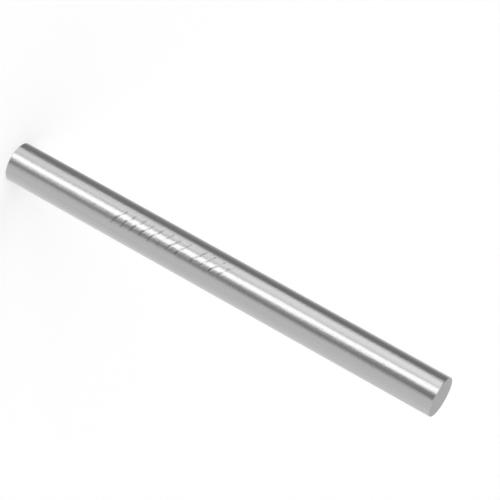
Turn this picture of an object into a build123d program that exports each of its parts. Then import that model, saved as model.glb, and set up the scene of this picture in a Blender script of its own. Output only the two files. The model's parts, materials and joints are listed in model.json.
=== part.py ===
from build123d import *
import os

# A length of round bar stock, ground all over, standing on its end. Its axis is Z, and the
# origin is in the middle of the lower end face.

# Driving dimensions, in millimetres.
DIAMETER = 8.5  # outside diameter of the ground bar
LENGTH = 100.0  # from one end face to the other
EDGE_BREAK = 0.1  # leg of the 45-degree chamfer around each end face


def lengthwise_half_section():
    """Half of the section through the axis: both end faces, both broken edges and the ground side."""
    radius = DIAMETER / 2
    outline = Polyline(
        (0, 0),
        (radius - EDGE_BREAK, 0),
        (radius, EDGE_BREAK),
        (radius, LENGTH - EDGE_BREAK),
        (radius - EDGE_BREAK, LENGTH),
        (0, LENGTH),
        close=True,
    )
    return Plane.XZ * make_face(outline)


def round_bar():
    """The bar, turned about its own axis."""
    return revolve(lengthwise_half_section(), Axis.Z, 360)


os.makedirs("parts", exist_ok=True)
export_step(round_bar(), "parts/round_bar.step")
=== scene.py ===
import json
import math
from collections import namedtuple

import bpy
import numpy as np
from mathutils import Matrix, Vector


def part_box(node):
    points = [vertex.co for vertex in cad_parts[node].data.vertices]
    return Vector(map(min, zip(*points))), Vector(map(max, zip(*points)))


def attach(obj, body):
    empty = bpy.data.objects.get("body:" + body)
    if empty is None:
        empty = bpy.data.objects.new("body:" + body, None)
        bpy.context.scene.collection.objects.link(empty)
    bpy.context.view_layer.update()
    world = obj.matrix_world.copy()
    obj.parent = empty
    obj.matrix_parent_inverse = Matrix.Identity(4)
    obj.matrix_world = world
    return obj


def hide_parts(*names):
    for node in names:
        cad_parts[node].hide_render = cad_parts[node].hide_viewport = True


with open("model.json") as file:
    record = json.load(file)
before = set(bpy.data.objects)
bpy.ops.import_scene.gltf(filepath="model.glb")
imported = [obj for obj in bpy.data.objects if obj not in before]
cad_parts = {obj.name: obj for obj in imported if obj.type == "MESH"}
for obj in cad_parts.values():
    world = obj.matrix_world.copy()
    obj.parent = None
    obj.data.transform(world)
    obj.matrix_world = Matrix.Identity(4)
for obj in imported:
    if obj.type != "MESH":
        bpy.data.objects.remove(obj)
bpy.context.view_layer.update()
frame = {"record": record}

# The bar stands on its end, with its axis on Z. Lengths are in metres. "Turn" is the angle
# around the bar, from the side that faces the camera (-Y) towards +X, and "around" is the same
# as a distance along the surface. The named turns below and the panels' turns are in degrees,
# and the functions that make the mesh take radians.

MM = 0.001

foot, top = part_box("round_bar")
shank = next(mount for mount in frame["record"]["mounts"] if mount["name"] == "shank")
LENGTH = top.z - foot.z
EDGE_BREAK = (LENGTH - shank["dims"]["length_mm"] * MM) / 2
BURR = 0.006 * MM       # height of the thrown-up rim of a stamped line
RADIUS = min(top.x, top.y) - BURR

# --- The row of stamped marks: plain slanted strokes, no letters or figures ------------------

MARK_HEIGHT = 3.15 * MM     # how far a stroke goes around the bar
MARK_STROKE = 0.70 * MM     # width of a stamped line
MARK_DEPTH = 0.022 * MM
MARK_LEAN = 1.8 * MM        # how far the top of a stroke leans along the bar
MARK_PITCH = 2.15 * MM      # from one stroke to the next
# Each group of strokes: the height of its first one's middle above the foot, and how many.
MARK_GROUPS = ((26.6 * MM, 8), (45.2 * MM, 4))
ROW_FIRST_TURN = -3.0       # middle of the first mark
ROW_LAST_TURN = -16.5       # and of the last: the row runs slightly askew
RIM_PLACE = 0.62            # from the middle of a line to its rim, as a share of its width
RIM_WIDTH = 0.32            # and how broad the rim is
MEAN_PRESSURE = 0.62        # of the stamp, where 1 presses to the full depth

# How unevenly the marks were struck: by how much, over patches of what size, and the seed.
Uneven = namedtuple("Uneven", "amount patch seed")
STRAY_UP = Uneven(0.07 * MM, 0.4 * MM, 1)
STRAY_AROUND = Uneven(0.07 * MM, 0.4 * MM, 2)
WIDTH_CHANGE = Uneven(0.35, 0.5 * MM, 3)
PRESSURE_CHANGE = Uneven(0.85, 0.8 * MM, 4)
PITTING = Uneven(0.4, 0.15 * MM, 5)
NOISE_CELLS = 256           # after so many patches the noise repeats


def mark_middles():
    """The height of each stroke's middle, from the foot up."""
    return [start + MARK_PITCH * i for start, count in MARK_GROUPS for i in range(count)]


def mark_lines():
    """Every stamped line as two ends, each (height, around)."""
    middles = mark_middles()
    for height in middles:
        share = (height - middles[0]) / (middles[-1] - middles[0])
        turn = ROW_FIRST_TURN + (ROW_LAST_TURN - ROW_FIRST_TURN) * share
        around = math.radians(turn) * RADIUS
        lower_end = (height - MARK_LEAN / 2, around + MARK_HEIGHT / 2)
        upper_end = (height + MARK_LEAN / 2, around - MARK_HEIGHT / 2)
        yield lower_end, upper_end


def distance_to_line(height, around, line):
    """How far a place is from the nearest point of a line between two ends."""
    (start_height, start_around), (end_height, end_around) = line
    rise, run = end_height - start_height, end_around - start_around
    up, on = height - start_height, around - start_around
    share = np.clip((up * rise + on * run) / (rise * rise + run * run), 0, 1)
    return np.hypot(up - share * rise, on - share * run)


def eased(share):
    """0 to 1 with a level start and end."""
    return share * share * (3 - 2 * share)


def uneven(kind, height, around):
    """Smooth random values up to kind.amount above and below zero."""
    grid = np.random.default_rng(kind.seed).uniform(-1, 1, (NOISE_CELLS, NOISE_CELLS))
    up, on = height / kind.patch, around / kind.patch
    row, column = np.floor(up).astype(int), np.floor(on).astype(int)
    up_share, on_share = eased(up - row), eased(on - column)
    row, next_row = row % NOISE_CELLS, (row + 1) % NOISE_CELLS
    column, next_column = column % NOISE_CELLS, (column + 1) % NOISE_CELLS
    near = grid[row, column] * (1 - up_share) + grid[next_row, column] * up_share
    far = grid[row, next_column] * (1 - up_share) + grid[next_row, next_column] * up_share
    return kind.amount * (near * (1 - on_share) + far * on_share)


def stamped(height, around):
    """How deep a place is in a stamped line, 0 to 1, and how much of its rim it is."""
    strayed_height = height + uneven(STRAY_UP, height, around)
    strayed_around = around + uneven(STRAY_AROUND, height, around)
    lines = mark_lines()
    nearest = np.min([distance_to_line(strayed_height, strayed_around, line) for line in lines], 0)
    width = MARK_STROKE * (1 + uneven(WIDTH_CHANGE, height, around))
    pressure = np.clip(MEAN_PRESSURE + uneven(PRESSURE_CHANGE, height, around), 0, 1)
    across = np.clip(nearest / (width / 2), 0, 1)
    groove = (1 - across * across) ** 2 * pressure * (1 + uneven(PITTING, height, around))
    rim = np.exp(-((nearest - width * RIM_PLACE) / (width * RIM_WIDTH)) ** 2) * pressure
    return np.clip(groove, 0, 1), rim


def relief(height, around):
    """How far the surface lies above the ground cylinder."""
    groove, rim = stamped(height, around)
    return BURR * rim - MARK_DEPTH * groove


# --- The bar's mesh --------------------------------------------------------------------------

FINE = 0.060 * MM           # grid spacing where the marks are
COARSE_TURN = 4.0           # around the rest of the bar
COARSE_LENGTH = 1.5 * MM    # and along it
SLOPE_STEP = 0.01 * MM      # the slope of the surface is taken this far to each side

# The part of the side that the marks take up: all their middles, and this far beyond them.
MARK_REACH = 0.8 * MM       # from the middle of a stamped line to the outside of its rim
BEYOND_HEIGHT = MARK_LEAN / 2 + MARK_REACH
BEYOND_TURN = math.degrees((MARK_HEIGHT / 2 + MARK_REACH) / RADIUS)
MARKED_HEIGHTS = (mark_middles()[0] - BEYOND_HEIGHT, mark_middles()[-1] + BEYOND_HEIGHT)
MARKED_TURNS = (ROW_LAST_TURN - BEYOND_TURN, ROW_FIRST_TURN + BEYOND_TURN)

# The texture map for baking the materials through. The side is one sheet, cut open
# at the back of the bar, and the two end faces are discs above it.
BAKE_MAP = "OFBake"
SHEET = (0.004, 0.996, 0.004, 0.760)    # its left, right, lower and upper edge
DISC_RADIUS = 0.112
LOWER_DISC = (0.125, 0.882)
UPPER_DISC = (0.375, 0.882)

UP = np.array([0.0, 0.0, 1.0])


def outward(turns):
    """Unit vectors out of the surface."""
    return np.stack([np.sin(turns), -np.cos(turns), 0 * turns], -1)


def onward(turns):
    """Unit vectors along the surface, towards greater turns."""
    return np.stack([np.cos(turns), np.sin(turns), 0 * turns], -1)


def spaced(start, end, step):
    """Even values from start to end, about that step apart."""
    return np.linspace(start, end, max(1, round((end - start) / step)) + 1)


def side_heights():
    """Heights of the grid lines on the ground side."""
    low, high = MARKED_HEIGHTS
    below = spaced(EDGE_BREAK, low, COARSE_LENGTH)[:-1]
    marked = spaced(low, high, FINE)[:-1]
    above = spaced(high, LENGTH - EDGE_BREAK, COARSE_LENGTH)
    return np.concatenate([below, marked, above])


def side_turns():
    """Turns of the grid lines, in radians. The last one is followed by the first."""
    left, right = MARKED_TURNS
    marked = spaced(left, right, math.degrees(FINE / RADIUS))[:-1]
    rest = spaced(right, left + 360, COARSE_TURN)[:-1]
    return np.radians(np.concatenate([marked, rest]))


def quad_corners(grid):
    """What a grid that closes around the bar holds at the four corners of each quad."""
    after = np.roll(grid, -1, axis=1)
    return np.stack([grid[:-1], after[:-1], after[1:], grid[1:]], axis=2)


def fan_corners(middle, rim, faces_up):
    """The same for the triangles of an end face, from its middle to its rim."""
    after = np.roll(rim, -1, axis=0)
    second, third = (rim, after) if faces_up else (after, rim)
    return np.stack([np.broadcast_to(middle, rim.shape), second, third], axis=1)


def bar_points(height, turn, turns):
    """Rings of points from the lower end face up to the upper one, then both faces' middles."""
    radius = RADIUS + relief(height, turn * RADIUS)
    side = outward(turn) * radius[..., None] + UP * height[..., None]
    face_rim = outward(turns) * (RADIUS - EDGE_BREAK)
    rings = np.concatenate([[face_rim], side, [face_rim + UP * LENGTH]])
    return np.concatenate([rings.reshape(-1, 3), [UP * 0, UP * LENGTH]])


def bar_faces(rings, columns):
    """The quads from the lowest ring up, then the triangles of the lower and the upper end."""
    points = np.arange(rings * columns).reshape(rings, columns)
    quads = quad_corners(points).reshape(-1, 4)
    lower = fan_corners(points.size, points[0], False)
    upper = fan_corners(points.size + 1, points[-1], True)
    return quads.tolist() + lower.tolist() + upper.tolist()


def side_normals(height, turn):
    """Normals of the ground side, tilted by the slopes of the marks."""
    around = turn * RADIUS
    higher, lower = relief(height + SLOPE_STEP, around), relief(height - SLOPE_STEP, around)
    further, nearer = relief(height, around + SLOPE_STEP), relief(height, around - SLOPE_STEP)
    slope_up = ((higher - lower) / (2 * SLOPE_STEP))[..., None]
    slope_on = ((further - nearer) / (2 * SLOPE_STEP))[..., None]
    normals = outward(turn) - onward(turn) * slope_on - UP * slope_up
    return normals / np.linalg.norm(normals, axis=-1, keepdims=True)


def corner_normals(height, turn, turns):
    """A normal for each corner: conical on the broken edges, flat on the end faces."""
    lower_edge = (outward(turns) - UP) / math.sqrt(2)
    upper_edge = (outward(turns) + UP) / math.sqrt(2)
    quads = np.concatenate([
        quad_corners(np.stack([lower_edge, lower_edge])),
        quad_corners(side_normals(height, turn)),
        quad_corners(np.stack([upper_edge, upper_edge])),
    ])
    face = np.tile(UP, (len(turns) * 3, 1))
    return np.concatenate([quads.reshape(-1, 3), -face, face])


def sheet_places(ring_heights, turns):
    """Where the corners of the quads lie on the texture map."""
    left, right, low, high = SHEET
    cut = turns[np.argmin(abs(turns - math.pi))]
    starts = (turns - cut) % math.tau
    ends = np.roll(starts, -1)
    ends[ends == 0] = math.tau
    across = left + (right - left) * np.stack([starts, ends, ends, starts], -1) / math.tau
    up = low + (high - low) * ring_heights / LENGTH
    up = np.stack([up[:-1], up[:-1], up[1:], up[1:]], -1)
    return np.stack(np.broadcast_arrays(across, up[:, None]), -1).reshape(-1, 2)


def disc_places(centre, turns, faces_up):
    """The same for the triangles of an end face. Seen from below, the turns run backwards."""
    seen = outward(turns if faces_up else -turns)[:, :2]
    return fan_corners(centre, centre + DISC_RADIUS * seen, faces_up).reshape(-1, 2)


def placed(name, data):
    """A new object in the scene."""
    thing = bpy.data.objects.new(name, data)
    bpy.context.scene.collection.objects.link(thing)
    return thing


def build_bar():
    """One closed mesh: the marked side, the broken edges and the end faces."""
    heights, turns = side_heights(), side_turns()
    height, turn = np.meshgrid(heights, turns, indexing="ij")
    columns = len(turns)
    ring_heights = np.concatenate([[0], heights, [LENGTH]])
    points = bar_points(height, turn, turns)

    mesh = bpy.data.meshes.new("ground_bar")
    mesh.from_pydata(points.tolist(), [], bar_faces(len(ring_heights), columns))
    mesh.polygons.foreach_set("use_smooth", [True] * len(mesh.polygons))
    mesh.normals_split_custom_set(corner_normals(height, turn, turns).tolist())

    etch = np.zeros(len(points))
    etch[columns:columns + height.size] = stamped(height, turn * RADIUS)[0].ravel()
    mesh.attributes.new("etch", "FLOAT", "POINT").data.foreach_set("value", etch)

    slots = np.zeros(len(mesh.polygons), np.int32)
    slots[-2 * columns:] = 1    # the end faces come last and take the second material
    mesh.polygons.foreach_set("material_index", slots)

    lower = disc_places(LOWER_DISC, turns, False)
    upper = disc_places(UPPER_DISC, turns, True)
    places = np.concatenate([sheet_places(ring_heights, turns), lower, upper])
    mesh.uv_layers.new(name=BAKE_MAP).data.foreach_set("uv", places.ravel())
    mesh.update()
    return placed("ground_bar", mesh)


# --- Materials -------------------------------------------------------------------------------

class Nodes:
    """Short calls for building one node tree."""

    def __init__(self, tree):
        self.tree = tree
        tree.nodes.clear()

    def add(self, kind, inputs=None, **settings):
        """A new node, with its inputs set to values or linked to other nodes' outputs."""
        node = self.tree.nodes.new(kind)
        for name, value in settings.items():
            setattr(node, name, value)
        for name, value in (inputs or {}).items():
            self.put(node.inputs[name], value)
        return node

    def put(self, socket, value):
        if isinstance(value, bpy.types.NodeSocket):
            self.tree.links.new(value, socket)
        else:
            socket.default_value = value

    def math(self, operation, first, second=0.0):
        return self.add("ShaderNodeMath", {0: first, 1: second}, operation=operation).outputs[0]

    def mix(self, first, second, share):
        """The second value by that share, and the first by the rest."""
        rest = self.math("MULTIPLY", first, 1 - share)
        return self.math("ADD", rest, self.math("MULTIPLY", second, share))

    def limited(self, value, low, high):
        return self.math("MINIMUM", self.math("MAXIMUM", value, low), high)

    def wrapped(self, degrees):
        """The same angle between -180 and 180."""
        node = self.add("ShaderNodeMath", {0: degrees, 1: 180.0, 2: -180.0}, operation="WRAP")
        return node.outputs[0]

    def noise(self, vector, cells, detail):
        """Noise with that many cells in a metre along X, Y and Z."""
        stretched = self.add("ShaderNodeMapping", {"Vector": vector, "Scale": cells})
        inputs = {"Vector": stretched.outputs["Vector"], "Scale": 1.0, "Detail": detail}
        return self.add("ShaderNodeTexNoise", inputs).outputs["Fac"]

    def between(self, value, low, high, new_low, new_high, smooth=False):
        """The value moved from the first range to the second, and no further."""
        inputs = {0: value, 1: low, 2: high, 3: new_low, 4: new_high}
        kind = "SMOOTHSTEP" if smooth else "LINEAR"
        made = self.add("ShaderNodeMapRange", inputs, interpolation_type=kind)
        return made.outputs["Result"]

    def finish(self, kind, shader):
        """Links the shader to the output of a tree of that kind, Material or World."""
        out = self.add("ShaderNodeOutput" + kind)
        self.put(out.inputs["Surface"], shader)


WHITE = (1, 1, 1, 1)
NOISE_LOW, NOISE_HIGH = 0.3, 0.7    # noise lies mostly between these two
BUMP_HEIGHT = 0.02 * MM

# The ground side. The cells are long where the noise changes slowly.
STREAK_CELLS = (2400, 2400, 25)     # thin streaks up the bar
LINE_CELLS = (60, 60, 5000)         # fine lines around it
WAVE_CELLS = (700, 700, 90)
RIPPLE_CELLS = (1200, 1200, 1200)
STREAK_SHARE = 0.94                 # against the lines
WAVE_SHARE = 0.2                    # against both of these
WAVE_BUMP = 2.0                     # as high as the streaks' bumps, times this
RIPPLE_BUMP = 1.7
SIDE_BUMP = 0.6
SIDE_GREYS = (0.475, 0.525)
SIDE_ROUGHNESS = (0.25, 0.30)
ETCH_GREY = 0.60                    # the grey at the bottom of a mark, as a share of the rest
ETCH_ROUGHNESS = 0.05               # added there
GRAIN = 0.6                         # how much wider the gloss spreads across the streaks
GRAIN_TURN = 0.25                   # of a full turn: from around the bar to along it

# The end faces.
FACE_LINE_CELLS = (300, 9000, 300)
CLOUD_CELLS = (400, 400, 400)
CLOUD_SHARE = 0.5
FACE_BUMP = 0.2
FACE_GREYS = (0.37, 0.39)
FACE_ROUGHNESS = (0.38, 0.46)


def new_material(name):
    material = bpy.data.materials.new(name)
    material.use_nodes = True
    return material, Nodes(material.node_tree)


def bare_steel(nodes, grey, roughness, height, bump_strength):
    """A shader for bare metal of that grey, with bumps of that height."""
    colour = nodes.add("ShaderNodeCombineColor", {"Red": grey, "Green": grey, "Blue": grey})
    inputs = {"Strength": bump_strength, "Distance": BUMP_HEIGHT, "Height": height}
    bump = nodes.add("ShaderNodeBump", inputs)
    return nodes.add("ShaderNodeBsdfPrincipled", {
        "Base Color": colour.outputs["Color"],
        "Metallic": 1.0,
        "Roughness": roughness,
        "Normal": bump.outputs["Normal"],
    })


def ground_side():
    """Ground steel: streaks along the bar, a slight waviness, small ripples, very faint lines."""
    material, nodes = new_material("ground_side")
    place = nodes.add("ShaderNodeTexCoord").outputs["Object"]
    lines = nodes.noise(place, LINE_CELLS, 2.0)
    streaks = nodes.noise(place, STREAK_CELLS, 2.0)
    waves = nodes.noise(place, WAVE_CELLS, 1.0)
    ripples = nodes.noise(place, RIPPLE_CELLS, 1.0)
    mixed = nodes.mix(nodes.mix(lines, streaks, STREAK_SHARE), waves, WAVE_SHARE)

    etch = nodes.add("ShaderNodeAttribute", attribute_name="etch").outputs["Fac"]
    bare_grey = nodes.between(mixed, NOISE_LOW, NOISE_HIGH, *SIDE_GREYS)
    grey = nodes.math("MULTIPLY", bare_grey, nodes.between(etch, 0.0, 1.0, 1.0, ETCH_GREY))
    bare_roughness = nodes.between(mixed, NOISE_LOW, NOISE_HIGH, *SIDE_ROUGHNESS)
    roughness = nodes.math("ADD", bare_roughness, nodes.math("MULTIPLY", etch, ETCH_ROUGHNESS))

    height = nodes.math("ADD", streaks, nodes.math("MULTIPLY", waves, WAVE_BUMP))
    height = nodes.math("ADD", height, nodes.math("MULTIPLY", ripples, RIPPLE_BUMP))
    tangent = nodes.add("ShaderNodeTangent", direction_type="RADIAL", axis="Z")

    steel = bare_steel(nodes, grey, roughness, height, SIDE_BUMP)
    nodes.put(steel.inputs["Anisotropic"], GRAIN)
    nodes.put(steel.inputs["Anisotropic Rotation"], GRAIN_TURN)
    nodes.put(steel.inputs["Tangent"], tangent.outputs["Tangent"])
    nodes.finish("Material", steel.outputs["BSDF"])
    return material


def faced_end():
    """The end faces: ground flat, with very fine lines straight across."""
    material, nodes = new_material("faced_end")
    place = nodes.add("ShaderNodeTexCoord").outputs["Object"]
    lines = nodes.noise(place, FACE_LINE_CELLS, 3.0)
    clouds = nodes.noise(place, CLOUD_CELLS, 2.0)
    mixed = nodes.mix(lines, clouds, CLOUD_SHARE)
    grey = nodes.between(mixed, NOISE_LOW, NOISE_HIGH, *FACE_GREYS)
    roughness = nodes.between(mixed, NOISE_LOW, NOISE_HIGH, *FACE_ROUGHNESS)
    steel = bare_steel(nodes, grey, roughness, lines, FACE_BUMP)
    nodes.finish("Material", steel.outputs["BSDF"])
    return material


# --- Studio ----------------------------------------------------------------------------------

# The room is as white as the background, and tall soft boxes and dark cards stand around the
# bar. For each: the turns of its two edges and how soft these are, in degrees, and how much
# brighter or darker than the room it is where the middle of the bar reflects it. The last two
# are for each unit that a ray's slope is above that of the middle's rays: how much the panel
# gains in brightness, and by how many degrees each half of it widens.
Panel = namedtuple("Panel", "start end start_fade end_fade change climb spread")
PANELS = (
    Panel(-142, -84.2, 60, 11, -0.72, 0.0, -18),    # large dark card
    Panel(-78, -38, 20, 22, 0.36, 2.5, 0),          # pale board
    Panel(-46.5, -37, 7, 6, -0.25, 0.0, 0),         # the gap between it and the strip light
    Panel(-31.6, -6.8, 7, 7, 1.15, -0.6, -8),       # strip light beside the camera
    Panel(3, 31.5, 14, 11, -0.56, -0.9, 35),        # narrow dark card on its other side
    Panel(0, 100, 40, 60, -0.10, 0.0, 0),           # the room's shaded corner
    Panel(130, 180, 50, 20, -0.02, -0.7, 0),        # the far wall
)
MIDDLE_SLOPE = -0.30    # slope, as the Z of a unit vector, of the rays that the middle reflects
SLOPE_RANGE = 0.12      # climb and spread stop this far above and below that

FLOOR_HALF = 2.0
PAPER = (0.6, 0.6, 0.6, 1)
PAPER_GLOW = 0.45       # makes the floor look as white as the background

CAMERA_PLACE = Vector((0, -0.44340, 0.20400))
CAMERA_AIM = Vector((-0.00699, 0, 0.05245))
CAMERA_ROLL = 118.850   # degrees
CAMERA_LENS = 172.8     # this and the sensor are in millimetres
CAMERA_SENSOR = 36.0
CAMERA_CLIP = (0.01, 20.0)


def panel_light(nodes, panel, turn, slope):
    """What one panel adds to the room along a ray of that turn and slope."""
    middle = (panel.start + panel.end) / 2
    half_width = (panel.end - panel.start) / 2
    half = nodes.math("ADD", nodes.math("MULTIPLY", slope, panel.spread), half_width)
    off = nodes.wrapped(nodes.math("SUBTRACT", turn, middle))
    from_start = nodes.math("ADD", off, half)
    to_end = nodes.math("SUBTRACT", half, off)
    begins = nodes.between(from_start, -panel.start_fade / 2, panel.start_fade / 2, 0, 1, True)
    ends = nodes.between(to_end, -panel.end_fade / 2, panel.end_fade / 2, 0, 1, True)
    change = nodes.math("ADD", nodes.math("MULTIPLY", slope, panel.climb), panel.change)
    return nodes.math("MULTIPLY", nodes.math("MULTIPLY", begins, ends), change)


def studio_light():
    """The room for glossy and diffuse rays, and plain white for camera and transmission rays."""
    world = bpy.data.worlds.new("studio")
    world.use_nodes = True
    bpy.context.scene.world = world
    nodes = Nodes(world.node_tree)
    ray = nodes.add("ShaderNodeTexCoord").outputs["Generated"]
    part = nodes.add("ShaderNodeSeparateXYZ", {"Vector": ray}).outputs
    forward = nodes.math("MULTIPLY", part["Y"], -1.0)
    turn = nodes.math("DEGREES", nodes.math("ARCTAN2", part["X"], forward))
    slope = nodes.math("SUBTRACT", part["Z"], MIDDLE_SLOPE)
    slope = nodes.limited(slope, -SLOPE_RANGE, SLOPE_RANGE)
    room = 1.0
    for panel in PANELS:
        room = nodes.math("ADD", panel_light(nodes, panel, turn, slope), room)
    path = nodes.add("ShaderNodeLightPath").outputs
    plain = nodes.math("MAXIMUM", path["Is Camera Ray"], path["Is Transmission Ray"])
    strength = nodes.add("ShaderNodeMix", {0: plain, 2: room, 3: 1.0}).outputs[0]
    background = nodes.add("ShaderNodeBackground", {"Color": WHITE, "Strength": strength})
    nodes.finish("World", background.outputs["Background"])


def pale_floor():
    """Pale paper that shows a shadow and glows a little where it is seen."""
    material, nodes = new_material("pale_floor")
    paper = nodes.add("ShaderNodeBsdfDiffuse", {"Color": PAPER})
    path = nodes.add("ShaderNodeLightPath").outputs
    seen = nodes.math("MAXIMUM", path["Is Camera Ray"], path["Is Glossy Ray"])
    strength = nodes.math("MULTIPLY", seen, PAPER_GLOW)
    glow = nodes.add("ShaderNodeEmission", {"Color": WHITE, "Strength": strength})
    both = nodes.add("ShaderNodeAddShader", {0: paper.outputs[0], 1: glow.outputs[0]})
    nodes.finish("Material", both.outputs[0])
    return material


def floor():
    near, far = -FLOOR_HALF, FLOOR_HALF
    corners = [(near, near, 0), (far, near, 0), (far, far, 0), (near, far, 0)]
    mesh = bpy.data.meshes.new("floor")
    mesh.from_pydata(corners, [], [(0, 1, 2, 3)])
    mesh.materials.append(pale_floor())
    sheet = placed("floor", mesh)
    sheet.visible_glossy = False
    sheet.visible_shadow = False


def camera():
    data = bpy.data.cameras.new("camera")
    data.lens = CAMERA_LENS
    data.sensor_width = CAMERA_SENSOR
    data.clip_start, data.clip_end = CAMERA_CLIP
    eye = placed("camera", data)
    look = (CAMERA_AIM - CAMERA_PLACE).to_track_quat("-Z", "Y").to_matrix().to_4x4()
    roll = Matrix.Rotation(math.radians(CAMERA_ROLL), 4, "Z")
    eye.matrix_world = Matrix.Translation(CAMERA_PLACE) @ look @ roll
    bpy.context.scene.camera = eye


bar = build_bar()
bar.data.materials.append(ground_side())
bar.data.materials.append(faced_end())
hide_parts("round_bar")
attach(bar, "root")

floor()
studio_light()
camera()
bpy.context.scene.view_settings.view_transform = "Standard"
